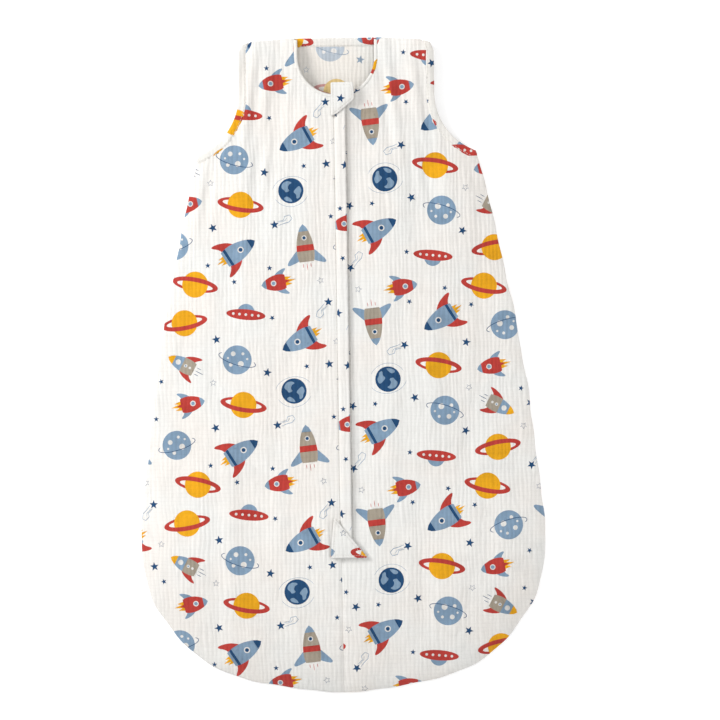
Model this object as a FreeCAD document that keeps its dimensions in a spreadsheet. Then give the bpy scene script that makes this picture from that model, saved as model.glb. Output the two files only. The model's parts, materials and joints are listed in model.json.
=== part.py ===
import FreeCAD, Part
import math
import os
import Sketcher

# Baby sleeping bag lying on its back: +Z up out of the front, +Y towards the head, +X to the right
# as seen from above. The origin is under the middle of the bag, on the surface that it lies on.
# The front is a low crowned shell over a flat back. What belongs to the zip is placed in the zip's own
# frame: u across, v along the zip towards the head, w out of the front fabric.

Vec = FreeCAD.Vector
doc = FreeCAD.newDocument("SleepingBag")
sheet = doc.addObject("Spreadsheet::Sheet", "dims")
DIMENSIONS = {
    "bag_length": 700, "half_width": 217, "corner_radius": 150, "corner_y": -190, "toe_radius": 379,
    "waist_x": 193, "waist_y": 20, "armpit_x": 148.5, "armpit_y": 226.6,
    "arm_radius": 65.5, "arm_x": 170, "arm_y": 288.5, "arm_band": 8.5,
    "shoulder_x": 104.5, "shoulder_y": 334, "shoulder_in": 92.5, "shoulder_drop": 3.5,
    "neck_radius": 41, "neck_y": 329, "neck_band": 3.5, "back_band": 9.5,
    "ply": 1.2, "back_ply": 1.3, "sew_gap": 0.1, "free_gap": 0.4,
    "crown_foot_a": 236, "crown_foot_b": 26, "crown_head_a": 150, "crown_head_b": 13,
    "crown_shin_y": -290, "crown_shin_b": 20, "crown_toe_b": 9,
    "zip_bottom_y": -203, "zip_x": 3.5, "seam_x": -2, "zip_gap": 4.5,
    "fold_top_x": 38.5, "fold_top_y": 315, "left_lapel_y": -157.5, "right_lapel_y": -25, "fold_end_y": 330,
    "tape_in": 1.2, "tape_width": 11.8, "tape_thick": 0.6, "tape_w": -3.4,
    "coil_width": 1.6, "coil_height": 1.5, "chain_foot": 4.2, "chain_split": 45, "chain_top": 480,
    "stop_length": 3, "slider_v": 479, "slider_width": 7.4, "slider_length": 10, "plate_thick": 1,
    "pull_length": 19, "pull_width": 4.8, "pull_thick": 1,
    "cover_left": -6, "cover_width": 11.5, "cover_w": 3, "cover_thick": 1, "cover_top": 477,
    "flap_w": 4.4, "flap_thick": 1.4, "guard_w": -6.5, "guard_width": 34,
}
for row, (name, size) in enumerate(DIMENSIONS.items(), start=1):
    sheet.set(f"A{row}", name)
    sheet.set(f"B{row}", str(size))
    sheet.setAlias(f"B{row}", name)
doc.recompute()
dim = {name: float(sheet.get(name)) for name in DIMENSIONS}
nodes = []

# The zip line is straight, because the crown is ruled between its foot and head sections.
CROWN_HEAD_Y = dim["bag_length"] / 2 + 1
RUN = CROWN_HEAD_Y - dim["zip_bottom_y"]
SLOPE = math.degrees(math.atan((dim["crown_foot_b"] - dim["crown_head_b"]) / RUN))
ZIP_FRAME = FreeCAD.Placement(
    Vec(dim["zip_x"], dim["zip_bottom_y"], dim["crown_foot_b"]), FreeCAD.Rotation(Vec(1, 0, 0), -SLOPE)
)
# Both lapels fold about lines that meet at the top of the centre front seam.
FOLD_FOOT = Vec(dim["seam_x"], dim["zip_bottom_y"], 0)


def node(thing, label):
    thing.Label = label
    nodes.append(thing)
    return thing


def bind(thing, **sizes):
    for prop, expression in sizes.items():
        thing.setExpression(prop, expression)
    return thing


def box(name, placement, **sizes):
    """A Part::Box with its Length, Width and Height bound to the sheet."""
    thing = doc.addObject("Part::Box", name)
    bind(thing, **sizes)
    thing.Placement = placement
    return thing


def at(x, y, z, turn=0.0):
    return FreeCAD.Placement(Vec(x, y, z), FreeCAD.Rotation(Vec(0, 0, 1), turn))


def on_zip(u, v, w):
    return ZIP_FRAME.multiply(FreeCAD.Placement(Vec(u, v, w), FreeCAD.Rotation()))


def cut(name, base, tool):
    thing = doc.addObject("Part::Cut", name)
    thing.Base = base
    thing.Tool = tool
    return thing


def common(name, *shapes):
    thing = doc.addObject("Part::MultiCommon", name)
    thing.Shapes = list(shapes)
    return thing


def fuse(name, *shapes):
    thing = doc.addObject("Part::MultiFuse", name)
    thing.Shapes = list(shapes)
    return thing


def prism(name, wire, low, high):
    """A vertical prism over a plan outline."""
    outline = doc.addObject("Part::Feature", name + "_outline")
    outline.Shape = Part.Face(wire)
    outline.Placement = at(0, 0, low)
    thing = doc.addObject("Part::Extrusion", name)
    thing.Base = outline
    thing.Dir = Vec(0, 0, 1)
    thing.LengthFwd = high - low
    thing.Solid = True
    return thing


def polygon(points):
    return Part.makePolygon([Vec(x, y, 0) for x, y in [*points, points[0]]])


def bag_outline(inset):
    """The bag's plan outline, drawn in by a fabric thickness. The armholes are cut from it later."""
    toe = Vec(0, dim["toe_radius"] - dim["bag_length"] / 2, 0)
    corner = Vec(dim["half_width"] - dim["corner_radius"], dim["corner_y"], 0)
    toe_radius = dim["toe_radius"] - inset
    corner_radius = dim["corner_radius"] - inset
    away = (corner - toe).normalize()
    slant = (away + Vec(1, 0, 0)).normalize()
    bottom = toe - Vec(0, toe_radius, 0)
    turn = toe + away * toe_radius
    side = corner + Vec(corner_radius, 0, 0)
    half_turn = (away + Vec(0, -1, 0)).normalize()
    armpit = Vec(dim["armpit_x"] - inset, dim["armpit_y"], 0)
    outer = Vec(dim["shoulder_x"] - inset, dim["shoulder_y"], 0)
    top = dim["bag_length"] / 2 - inset
    inner = Vec(dim["shoulder_in"], top - dim["shoulder_drop"], 0)
    round_mid = Vec(outer.x - 3.4, inner.y - 3.6, 0)
    neck = Vec(dim["neck_radius"], top, 0)
    edges = [
        Part.Arc(bottom, toe + half_turn * toe_radius, turn).toShape(),
        Part.Arc(turn, corner + slant * corner_radius, side).toShape(),
        Part.Arc(side, Vec(dim["waist_x"] - inset, dim["waist_y"], 0), armpit).toShape(),
        Part.LineSegment(armpit, outer).toShape(),
        Part.Arc(outer, round_mid, inner).toShape(),
        Part.LineSegment(inner, neck).toShape(),
        Part.LineSegment(neck, Vec(0, top, 0)).toShape(),
    ]
    half = Part.Wire(edges)
    mirrored = half.mirror(Vec(0, 0, 0), Vec(1, 0, 0))
    return Part.Wire(Part.__sortEdges__(half.Edges + mirrored.Edges))


def crown(name, depth):
    """The crowned space under one face of the front, each half-ellipse drawn in by a depth."""
    sections = []
    stations = [
        (-dim["bag_length"] / 2 - 2, "crown_foot_a", "crown_toe_b"),
        (dim["crown_shin_y"], "crown_foot_a", "crown_shin_b"),
        (dim["zip_bottom_y"], "crown_foot_a", "crown_foot_b"),
        (CROWN_HEAD_Y, "crown_head_a", "crown_head_b"),
    ]
    for count, (y, major, minor) in enumerate(stations):
        ring = doc.addObject("Part::Ellipse", f"{name}_ring_{count}")
        bind(ring, MajorRadius=f"dims.{major} - {depth}", MinorRadius=f"dims.{minor} - {depth}")
        ring.Placement = FreeCAD.Placement(Vec(0, y, 0), FreeCAD.Rotation(Vec(1, 0, 0), 90))
        sections.append(ring)
    loft = doc.addObject("Part::Loft", name)
    loft.Sections = sections
    loft.Solid = True
    loft.Ruled = True
    return loft


def neck_tool(name, growth):
    """The neck opening seen from above, a round bottom under straight sides."""
    low, reach = -1, 80
    ring = doc.addObject("Part::Cylinder", name + "_round")
    bind(ring, Radius=f"dims.neck_radius + {growth}")
    ring.Height = reach
    ring.Placement = at(0, dim["neck_y"], low)
    wide = dim["neck_radius"] + growth
    sides = box(name + "_sides", at(-wide, dim["neck_y"], low), Length=f"2 * (dims.neck_radius + {growth})")
    sides.Width = reach
    sides.Height = reach
    return fuse(name, ring, sides)


def arm_tool(name, growth):
    """Both armholes seen from above."""
    low, reach = -1, 80
    wide = dim["arm_radius"] + growth
    parts = []
    for side in (-1, 1):
        ring = doc.addObject("Part::Cylinder", f"{name}_round_{side + 1}")
        bind(ring, Radius=f"dims.arm_radius + {growth}")
        ring.Height = reach
        ring.Placement = at(side * dim["arm_x"], dim["arm_y"], low)
        left = side * dim["arm_x"] - wide
        parts += [ring, box(f"{name}_sides_{side + 1}", at(left, dim["arm_y"], low),
                            Length=f"2 * (dims.arm_radius + {growth})")]
        parts[-1].Width = reach
        parts[-1].Height = reach
    return fuse(name, *parts)


PLY, SEW, FREE = dim["ply"], dim["sew_gap"], dim["free_gap"]
BACK = dim["back_ply"]
TOP = 60.0
LINING_TOP = 2 * BACK + SEW
crowns = [crown("crown_outer", 0), crown("crown_middle", PLY), crown("crown_lining", PLY + SEW),
          crown("crown_inner", 2 * PLY + SEW)]
plans = [prism("plan_outer", bag_outline(0), BACK + SEW, TOP),
         prism("plan_middle", bag_outline(PLY), 0, TOP),
         prism("plan_lining", bag_outline(PLY + SEW), BACK + SEW, TOP),
         prism("plan_inner", bag_outline(2 * PLY + SEW), 0, TOP)]
spaces = [common(f"space_{count}", *pair) for count, pair in enumerate(zip(crowns, plans))]
outer_shell = cut("outer_shell", spaces[0], spaces[1])
lining_shell = cut("lining_shell", spaces[2], spaces[3])
whole_shell = cut("whole_shell", spaces[0], spaces[3])

neck_edge = neck_tool("neck_edge", 0)
neck_inner = neck_tool("neck_inner", dim["neck_band"])
neck_clear = neck_tool("neck_clear", dim["neck_band"] + SEW)
arm_edge = arm_tool("arm_edge", 0)
arm_inner = arm_tool("arm_inner", dim["arm_band"])
arm_clear = arm_tool("arm_clear", dim["arm_band"] + SEW)
open_edges = fuse("open_edges", neck_clear, arm_clear)

# Plan zones of the front. Each is a polygon on one side of the fold line and of the zip opening.
FAR_Y, FAR_X = 400.0, 260.0
fold_run = dim["fold_top_y"] - dim["zip_bottom_y"]
EDGES = {-1: dim["zip_x"] - dim["zip_gap"], 1: dim["zip_x"] + dim["zip_gap"]}
LAPEL_FOOT = {-1: dim["left_lapel_y"], 1: dim["right_lapel_y"]}


def fold_x(side, y):
    """The fold line's x at a height y. side is -1 on the left and 1 on the right."""
    share = (y - dim["zip_bottom_y"]) / fold_run
    return dim["seam_x"] + share * (side * dim["fold_top_x"] - dim["seam_x"])


def fixed_zone(side):
    seam = dim["seam_x"] + side * SEW
    foot = LAPEL_FOOT[side]
    clear = side * FREE
    slit_foot = dim["zip_bottom_y"]
    end = dim["fold_end_y"]
    return [(side * FAR_X, -FAR_Y), (seam, -FAR_Y), (seam, slit_foot), (EDGES[side], slit_foot),
            (EDGES[side], foot - FREE), (fold_x(side, foot) + clear, foot - FREE),
            (fold_x(side, end) + clear, end), (side * SEW, end + FREE), (side * SEW, FAR_Y),
            (side * FAR_X, FAR_Y)]


def lapel_zone(side):
    foot = LAPEL_FOOT[side]
    end = dim["fold_end_y"]
    return [(EDGES[side], foot), (fold_x(side, foot), foot), (fold_x(side, end), end), (EDGES[side], end)]


for side, word in ((-1, "left"), (1, "right")):
    fixed = prism(f"fixed_zone_{word}", polygon(fixed_zone(side)), -1, TOP)
    lapel = prism(f"lapel_zone_{word}", polygon(lapel_zone(side)), -1, TOP)
    for cloth, shell in (("panel", outer_shell), ("lining", lining_shell)):
        fixed_raw = common(f"fixed_raw_{word}_{cloth}", shell, fixed)
        node(cut(f"{word}_front_{cloth}", fixed_raw, open_edges), f"{word}_front_{cloth}")
        lapel_raw = common(f"lapel_raw_{word}_{cloth}", shell, lapel)
        node(cut(f"{word}_lapel_{cloth}", lapel_raw, neck_clear), f"{word}_lapel_{cloth}")
    neck_ring = common(f"neck_ring_{word}", whole_shell, lapel, neck_inner)
    node(cut(f"{word}_neck_binding", neck_ring, neck_edge), f"{word}_neck_binding")
    side_ring = common(f"neck_side_ring_{word}", whole_shell, fixed, neck_inner)
    node(cut(f"{word}_neck_side_binding", side_ring, neck_edge), f"{word}_neck_side_binding")

# The back lies flat. Its armhole edges are bound together with the front's.
back_slab = prism("back_slab", bag_outline(0), 0, BACK)
lining_slab = prism("lining_slab", bag_outline(2 * PLY + 2 * SEW), BACK + SEW, LINING_TOP)
band_half = dim["neck_radius"] + dim["neck_band"]
band_foot = dim["bag_length"] / 2 - dim["back_band"]
band_room = box("band_room", at(-band_half - SEW, band_foot - SEW, -1))
bind(band_room, Length="2 * (dims.neck_radius + dims.neck_band + dims.sew_gap)")
band_room.Width = 40
band_room.Height = 10
back_open = fuse("back_open", arm_clear, band_room)
node(cut("back_panel", back_slab, back_open), "back_panel")
node(cut("back_lining", lining_slab, back_open), "back_lining")
node(box("back_neck_band", at(-band_half, band_foot, 0), Length="2 * (dims.neck_radius + dims.neck_band)",
         Width="dims.back_band", Height="dims.back_ply"), "back_neck_band")

full_back = prism("full_back", bag_outline(0), 0, BACK)
binding_source = {"front": whole_shell, "back": full_back}
for side, word in ((-1, "left"), (1, "right")):
    half = box(f"half_{word}", at(0 if side > 0 else -FAR_X, 0, -1))
    half.Length = FAR_X
    half.Width = FAR_Y
    half.Height = TOP
    for face, source in binding_source.items():
        ring = common(f"arm_ring_{word}_{face}", source, arm_inner, half)
        node(cut(f"{word}_armhole_binding_{face}", ring, arm_edge), f"{word}_armhole_binding_{face}")

# Zip chain and tapes. The part above the split opens with the lapels.
for side, word in ((-1, "left"), (1, "right")):
    tape_u = dim["tape_in"] if side > 0 else -dim["tape_in"] - dim["tape_width"]
    coil_u = 0.15 if side > 0 else -0.15 - dim["coil_width"]
    coil_w = dim["tape_w"] + dim["tape_thick"]
    tape = box(f"zip_tape_{word}", on_zip(tape_u, dim["chain_split"] + FREE, dim["tape_w"]),
               Length="dims.tape_width", Height="dims.tape_thick",
               Width="dims.chain_top + 3 * dims.stop_length - dims.chain_split")
    node(tape, f"zip_tape_{word}")
    coil = box(f"zip_coil_{word}", on_zip(coil_u, dim["chain_split"] + FREE, coil_w),
               Length="dims.coil_width", Height="dims.coil_height",
               Width="dims.chain_top - dims.chain_split - dims.free_gap")
    node(coil, f"zip_coil_{word}")
    stop = box(f"zip_top_stop_{word}", on_zip(side * 2.6 - 0.8, dim["chain_top"] + 4.6, coil_w),
               Length="dims.coil_width", Height="dims.coil_height", Width="dims.stop_length")
    node(stop, f"zip_top_stop_{word}")
lower_tapes = []
for side, word in ((-1, "left"), (1, "right")):
    tape_u = dim["tape_in"] if side > 0 else -dim["tape_in"] - dim["tape_width"]
    coil_u = 0.15 if side > 0 else -0.15 - dim["coil_width"]
    coil_w = dim["tape_w"] + dim["tape_thick"]
    lower_tapes.append(box(f"lower_tape_{word}", on_zip(tape_u, 0, dim["tape_w"]), Length="dims.tape_width",
                           Width="dims.chain_split", Height="dims.tape_thick"))
    node(box(f"zip_lower_coil_{word}", on_zip(coil_u, dim["chain_foot"] + FREE, coil_w),
             Length="dims.coil_width", Height="dims.coil_height",
             Width="dims.chain_split - dims.chain_foot - dims.free_gap"), f"zip_lower_coil_{word}")
node(doc.addObject("Part::Compound", "zip_lower_tapes"), "zip_lower_tapes").Links = lower_tapes
node(box("zip_bottom_stop", on_zip(-dim["coil_width"], 1, dim["tape_w"] + dim["tape_thick"]),
         Length="2 * dims.coil_width", Width="dims.stop_length", Height="dims.coil_height"),
     "zip_bottom_stop")


def zip_body(name):
    body = doc.addObject("PartDesign::Body", name)
    body.Placement = ZIP_FRAME
    return body


def rectangle(body, name, corner, sizes, height):
    """A sketch on the body's own XY plane, raised to a height. Corner and sizes are expressions."""
    sketch = body.newObject("Sketcher::SketchObject", name)
    plane = [item for item in body.Origin.OriginFeatures if item.Role == "XY_Plane"][0]
    sketch.AttachmentSupport = (plane, [""])
    sketch.MapMode = "FlatFace"
    sketch.AttachmentOffset = FreeCAD.Placement(Vec(0, 0, height), FreeCAD.Rotation())
    corners = [Vec(0, 0, 0), Vec(1, 0, 0), Vec(1, 1, 0), Vec(0, 1, 0)]
    for count in range(4):
        sketch.addGeometry(Part.LineSegment(corners[count], corners[(count + 1) % 4]))
    for count in range(4):
        sketch.addConstraint(Sketcher.Constraint("Coincident", count, 2, (count + 1) % 4, 1))
    for count, level in ((0, "Horizontal"), (2, "Horizontal"), (1, "Vertical"), (3, "Vertical")):
        sketch.addConstraint(Sketcher.Constraint(level, count))
    held = [("DistanceX", (-1, 1, 0, 1), corner[0]), ("DistanceY", (-1, 1, 0, 1), corner[1]),
            ("DistanceX", (0, 1, 0, 2), sizes[0]), ("DistanceY", (1, 1, 1, 2), sizes[1])]
    for kind, ends, expression in held:
        index = sketch.addConstraint(Sketcher.Constraint(kind, *ends, 1.0))
        sketch.setExpression(f"Constraints[{index}]", expression)
    return sketch


def pad(body, sketch, length, feature="PartDesign::Pad"):
    thing = body.newObject(feature, f"{sketch.Name}_{feature[-3:].lower()}")
    thing.Profile = sketch
    thing.setExpression("Length", length)
    sketch.Visibility = False
    return thing


# The slider: two plates joined by a post, side flanges, and a bridge for the pull's eye.
slider = node(zip_body("zip_slider"), "zip_slider")
PLATE_CORNER = ("-dims.slider_width / 2", "dims.slider_v - dims.slider_length / 2")
PLATE_SIZES = ("dims.slider_width", "dims.slider_length")
LOW_PLATE = dim["tape_w"] - FREE - dim["plate_thick"]
FLANGE, FLANGE_W = 0.5, -2.3
BRIDGE, BRIDGE_LEFT = "1.6", "-0.8"
pad(slider, rectangle(slider, "low_plate", PLATE_CORNER, PLATE_SIZES, LOW_PLATE), "dims.plate_thick")
pad(slider, rectangle(slider, "post", ("-0.6", "dims.slider_v + 2"), ("1.2", "2.5"),
                      LOW_PLATE + dim["plate_thick"] / 2), "3.8")
pad(slider, rectangle(slider, "top_plate", PLATE_CORNER, PLATE_SIZES, -dim["plate_thick"]),
    "dims.plate_thick")
flange_corners = {
    "left_flange": "-dims.slider_width / 2",
    "right_flange": f"dims.slider_width / 2 - {FLANGE}",
}
for name, corner_u in flange_corners.items():
    size = (str(FLANGE), "dims.slider_length")
    pad(slider, rectangle(slider, name, (corner_u, PLATE_CORNER[1]), size, FLANGE_W), "1.5")
for name, corner_v in (("bridge_foot", "dims.slider_v - 3.4"), ("bridge_head", "dims.slider_v + 2.2")):
    pad(slider, rectangle(slider, name, (BRIDGE_LEFT, corner_v), (BRIDGE, "1.2"), -0.2), "2.7")
bridge_corner = (BRIDGE_LEFT, "dims.slider_v - 3.4")
pad(slider, rectangle(slider, "bridge_bar", bridge_corner, (BRIDGE, "6.8"), 1.7), "0.8")

# The pull: an eye bar through the bridge, two arms and a plate, pointing to the head at rest.
pull = node(zip_body("zip_pull"), "zip_pull")
EYE_W, ARM_WIDTH, EYE_FOOT = 0.35, 1.2, "dims.slider_v - 0.5"
pad(pull, rectangle(pull, "eye_bar", ("-dims.pull_width / 2", EYE_FOOT), ("dims.pull_width", "1"), EYE_W),
    "dims.pull_thick")
arm_corners = {"left_arm": "-dims.pull_width / 2", "right_arm": f"dims.pull_width / 2 - {ARM_WIDTH}"}
for name, corner_u in arm_corners.items():
    size = (str(ARM_WIDTH), "6")
    pad(pull, rectangle(pull, name, (corner_u, EYE_FOOT), size, EYE_W), "dims.pull_thick")
pad(pull, rectangle(pull, "pull_plate", ("-dims.pull_width / 2", "dims.slider_v + 4.6"),
                    ("dims.pull_width", "dims.pull_length - 4.6"), EYE_W), "dims.pull_thick")


def strip(name, foot, length):
    """The cover strip: a wall sewn to the left panel, a roof over the zip."""
    body = node(zip_body(name), name)
    pad(body, rectangle(body, name + "_wall", ("dims.cover_left", foot), ("1", length), 0.3),
        "dims.cover_w + dims.cover_thick - 0.3")
    pad(body, rectangle(body, name + "_roof", ("dims.cover_left", foot), ("dims.cover_width", length),
                        dim["cover_w"]), "dims.cover_thick")
    return body


strip("zip_cover", "dims.chain_split + dims.free_gap", "dims.cover_top - dims.chain_split - dims.free_gap")
strip("zip_cover_end", "2", "dims.chain_split - 3")

# The underlap behind the zip hangs from the left lapel's lining.
guard = node(zip_body("zip_guard"), "zip_guard")
GUARD_LEFT = "-dims.guard_width / 2 - 3"
GUARD_FOOT = "dims.chain_split + dims.free_gap"
GUARD_LENGTH = "dims.chain_top - dims.chain_split"
pad(guard, rectangle(guard, "guard_sheet", (GUARD_LEFT, GUARD_FOOT), ("dims.guard_width", GUARD_LENGTH),
                     dim["guard_w"]), "dims.ply")


def flap(points, low, thick):
    """A plain sewn flap: a plan polygon in the zip's frame, raised off the front and thickened."""
    wire = Part.makePolygon([Vec(u, v, low) for u, v in [*points, points[0]]])
    return Part.Face(wire).extrude(Vec(0, 0, thick))


# The chin guard folds over from the left of the zip and the garage closes the zip's lower end.
chin = doc.addObject("Part::Feature", "chin_guard")
CHIN_LEFT, CHIN_FOOT, CHIN_TOP, CHIN_PLY = -9.4, 467.5, 503.5, 1.0
SEWN_TOP = 484.0
chin_points = [(CHIN_LEFT, CHIN_TOP), (14.5, CHIN_TOP), (15.5, 485.5), (-2.5, 470.5), (CHIN_LEFT, CHIN_FOOT)]
chin_wall = [(CHIN_LEFT, CHIN_FOOT), (CHIN_LEFT, SEWN_TOP), (CHIN_LEFT + CHIN_PLY, SEWN_TOP),
             (CHIN_LEFT + CHIN_PLY, CHIN_FOOT)]
chin.Shape = flap(chin_points, dim["flap_w"], dim["flap_thick"]).fuse(
    flap(chin_wall, FREE, dim["flap_w"])).removeSplitter()
chin.Placement = ZIP_FRAME
node(chin, "chin_guard")

garage = doc.addObject("Part::Feature", "zip_garage")
GARAGE_LEFT, GARAGE_RIGHT, GARAGE_FOOT, GARAGE_PLY = -17.5, 22.1, -1.5, 1.2
garage_points = [(GARAGE_LEFT, GARAGE_FOOT), (GARAGE_RIGHT, GARAGE_FOOT), (-13.1, 42.0)]
garage_wall = [(GARAGE_LEFT, GARAGE_FOOT), (GARAGE_RIGHT, GARAGE_FOOT),
               (GARAGE_RIGHT, GARAGE_FOOT + GARAGE_PLY), (GARAGE_LEFT, GARAGE_FOOT + GARAGE_PLY)]
garage.Shape = flap(garage_points, dim["flap_w"], dim["flap_thick"]).fuse(
    flap(garage_wall, FREE, dim["flap_w"])).removeSplitter()
garage.Placement = ZIP_FRAME
node(garage, "zip_garage")

# A blank care label, sewn into the left side seam and lying on the back lining.
node(box("care_label", at(-185, 0, LINING_TOP + SEW), Length="22", Width="40", Height="0.4"), "care_label")

doc.recompute()
os.makedirs("parts", exist_ok=True)
for thing in doc.Objects:
    if {"Invalid", "Error"} & set(thing.State):
        raise RuntimeError(f"{thing.Name} failed: {thing.State}")
for thing in nodes:
    shape = thing.Shape
    if shape.isNull() or not shape.isValid() or shape.Volume <= 0:
        raise RuntimeError(f"{thing.Label} has no valid shape")
for thing in nodes:
    thing.Shape.exportStep(f"parts/{thing.Label}.step")
    print(f"{thing.Label}: {len(thing.Shape.Solids)} solids, {thing.Shape.Volume / 1000:.2f} cm3")
print(f"slope {SLOPE:.4f} degrees, {len(nodes)} nodes")
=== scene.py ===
import json
import math
import bmesh
import bpy
import numpy as np
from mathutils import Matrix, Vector
from mathutils.geometry import delaunay_2d_cdt


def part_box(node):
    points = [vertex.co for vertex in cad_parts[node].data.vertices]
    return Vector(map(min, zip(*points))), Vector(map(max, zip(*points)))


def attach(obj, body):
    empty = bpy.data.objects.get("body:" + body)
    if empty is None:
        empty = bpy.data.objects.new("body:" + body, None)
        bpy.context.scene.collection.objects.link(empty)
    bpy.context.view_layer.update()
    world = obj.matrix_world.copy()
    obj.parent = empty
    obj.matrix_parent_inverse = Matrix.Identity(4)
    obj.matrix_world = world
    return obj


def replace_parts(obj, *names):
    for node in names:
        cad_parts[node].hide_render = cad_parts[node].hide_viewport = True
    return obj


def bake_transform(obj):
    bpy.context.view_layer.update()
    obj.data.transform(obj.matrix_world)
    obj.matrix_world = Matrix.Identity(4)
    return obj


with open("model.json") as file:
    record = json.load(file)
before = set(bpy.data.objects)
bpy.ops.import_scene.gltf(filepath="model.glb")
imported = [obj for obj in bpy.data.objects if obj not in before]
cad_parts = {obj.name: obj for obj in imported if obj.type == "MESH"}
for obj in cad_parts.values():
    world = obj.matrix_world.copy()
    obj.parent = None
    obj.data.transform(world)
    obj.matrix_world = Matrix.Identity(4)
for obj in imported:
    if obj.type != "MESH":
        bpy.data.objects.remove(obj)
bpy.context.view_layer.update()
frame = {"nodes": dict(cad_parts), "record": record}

# A baby's muslin sleeping bag, lying on its back on a white table. +Y is towards the head, +X is to the
# right seen from above. The flat patterns are drawn in millimetres and every mesh is written in metres.

MM = 0.001


# ---------------------------------------------------------------- places read from the frame

def low_high(node):
    low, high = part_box(node)
    return np.array(low) / MM, np.array(high) / MM


JOINTS = {joint["name"]: joint for joint in frame["record"]["behaviour"]["joints"]}
back_low, back_high = low_high("back_panel")
HALF, TOP_Y, HEM_Y = back_high[0], back_high[1], back_low[1]
tape_low, tape_high = low_high("zip_lower_tapes")
ZIP_X = (tape_low[0] + tape_high[0]) / 2
FOLD_FOOT = np.array(JOINTS["left_lapel_fold"]["pos_m"]) / MM
SEAM_X, ZIP_FOOT_Y = FOLD_FOOT[0], FOLD_FOOT[1]
ZIP_DROP = JOINTS["zip_slide"]["axis"][2] / -JOINTS["zip_slide"]["axis"][1]
ZIP_FOOT_Z = FOLD_FOOT[2] - 0.5
PANEL_GAP = 4.5
LEFT_EDGE, RIGHT_EDGE = ZIP_X - PANEL_GAP, ZIP_X + PANEL_GAP


def zip_z(y):
    """Height of the front's outer face along the zip."""
    return ZIP_FOOT_Z - ZIP_DROP * (np.asarray(y, float) - ZIP_FOOT_Y)


# ---------------------------------------------------------------- outline of the bag

CORNER = np.array([HALF - 150.0, -190.0])
CORNER_R, TOE_R = 150.0, 379.0
TOE = np.array([0.0, HEM_Y + TOE_R])
ARM_C, ARM_R = np.array([170.0, 288.5]), 65.5
ARMPIT = np.array([148.5, 226.6])
WAIST = np.array([193.0, 20.0])
STRAP_X, SHOULDER_Y, SHOULDER_IN = 104.5, 334.0, 92.5
NECK_R, NECK_Y = 41.0, 329.0
ARM_BAND, NECK_BAND, BACK_BAND = 8.5, 3.5, 9.5


def arc(centre, radius, start, stop, step=2.5):
    """Points along an arc, by angles in radians."""
    count = max(3, int(abs(stop - start) * radius / step) + 1)
    turn = np.linspace(start, stop, count)
    return centre + radius * np.stack([np.cos(turn), np.sin(turn)], 1)


def through(a, b, c, step=2.5):
    """Points on the circle through three points, from a to c by b."""
    rows = np.array([2 * (b - a), 2 * (c - a)])
    centre = np.linalg.solve(rows, [b @ b - a @ a, c @ c - a @ a])
    radius = np.linalg.norm(a - centre)
    first = math.atan2(*(a - centre)[::-1])
    last = math.atan2(*(c - centre)[::-1])
    last += 2 * math.pi * round((first - last) / (2 * math.pi))
    return arc(centre, radius, first, last, step)


def line(a, b, step=2.5):
    count = max(2, int(np.linalg.norm(np.subtract(b, a)) / step) + 1)
    return np.linspace(a, b, count)


def hem_and_side():
    """The right half of the outline from the hem up to the armpit, a little uneven as sewn cloth is."""
    tangent = math.atan2(*(CORNER - TOE)[::-1])
    toe = arc(TOE, TOE_R, -math.pi / 2, tangent)
    corner = arc(CORNER, CORNER_R, tangent, 0)
    side = through(np.array([HALF, CORNER[1]]), WAIST, ARMPIT)
    edge = np.concatenate([toe, corner[1:], side[1:]])
    along = np.concatenate([[0], np.cumsum(np.hypot(*np.diff(edge, axis=0).T))])
    wobble = 0.7 * np.sin(along / 17 + 1.3 * np.sin(along / 41)) + 0.45 * np.sin(along / 7.3 + 0.6) - 0.9
    wobble *= np.minimum(1, along / 30) * np.minimum(1, (along[-1] - along) / 30)
    run = np.gradient(edge, axis=0)
    outward = np.stack([run[:, 1], -run[:, 0]], 1) / np.linalg.norm(run, axis=1, keepdims=True)
    return edge + outward * wobble[:, None]


def armhole(growth=0.0):
    """The right armhole from the armpit up to the shoulder, grown into the cloth."""
    radius = ARM_R + growth
    foot_x = min(ARM_C[0], ARMPIT[0] + growth * 0.2)
    start = math.atan2(-math.sqrt(radius ** 2 - (foot_x - ARM_C[0]) ** 2), foot_x - ARM_C[0])
    bend = arc(ARM_C, radius, start + 2 * math.pi, math.pi)
    rise = line((ARM_C[0] - radius, ARM_C[1] + 2), (ARM_C[0] - radius, SHOULDER_Y))
    return np.concatenate([bend, rise])


def shoulder(neck_growth=0.0, arm_growth=0.0):
    """The right shoulder seam from the armhole to the neck."""
    outer = np.array([STRAP_X - arm_growth, SHOULDER_Y])
    inner = np.array([SHOULDER_IN - arm_growth * 0.3, TOP_Y - 3.6])
    middle = np.array([outer[0] - 3.0, inner[1] - 3.4])
    return np.concatenate([through(outer, middle, inner)[1:], line(inner, (NECK_R + neck_growth, TOP_Y))[1:]])


def neck(growth, stop_x):
    """The right side of the neck opening from the shoulder round to the zip, stopping at x."""
    radius = NECK_R + growth
    side = line((radius, TOP_Y - 2), (radius, NECK_Y))
    stop = math.atan2(-math.sqrt(radius ** 2 - stop_x ** 2), stop_x)
    return np.concatenate([side, arc(np.array([0, NECK_Y]), radius, 0, stop)[1:]])


def mirrored(points):
    return np.asarray(points)[::-1] * [-1, 1]


CROWN_EDGE = hem_and_side()
CROWN_EDGE = np.concatenate([CROWN_EDGE[::3], CROWN_EDGE[-1:], [[ARMPIT[0] + 2, 420.0]]])


def line_gap(plan, points):
    """Distance of each place from an open line."""
    gap = np.full(len(plan), 1e9)
    for a, b in zip(points[:-1], points[1:]):
        run = b - a
        share = np.clip(((plan - a) @ run) / max(run @ run, 1e-9), 0, 1)
        gap = np.minimum(gap, np.linalg.norm(plan - a - share[:, None] * run, axis=1))
    return gap


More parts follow.
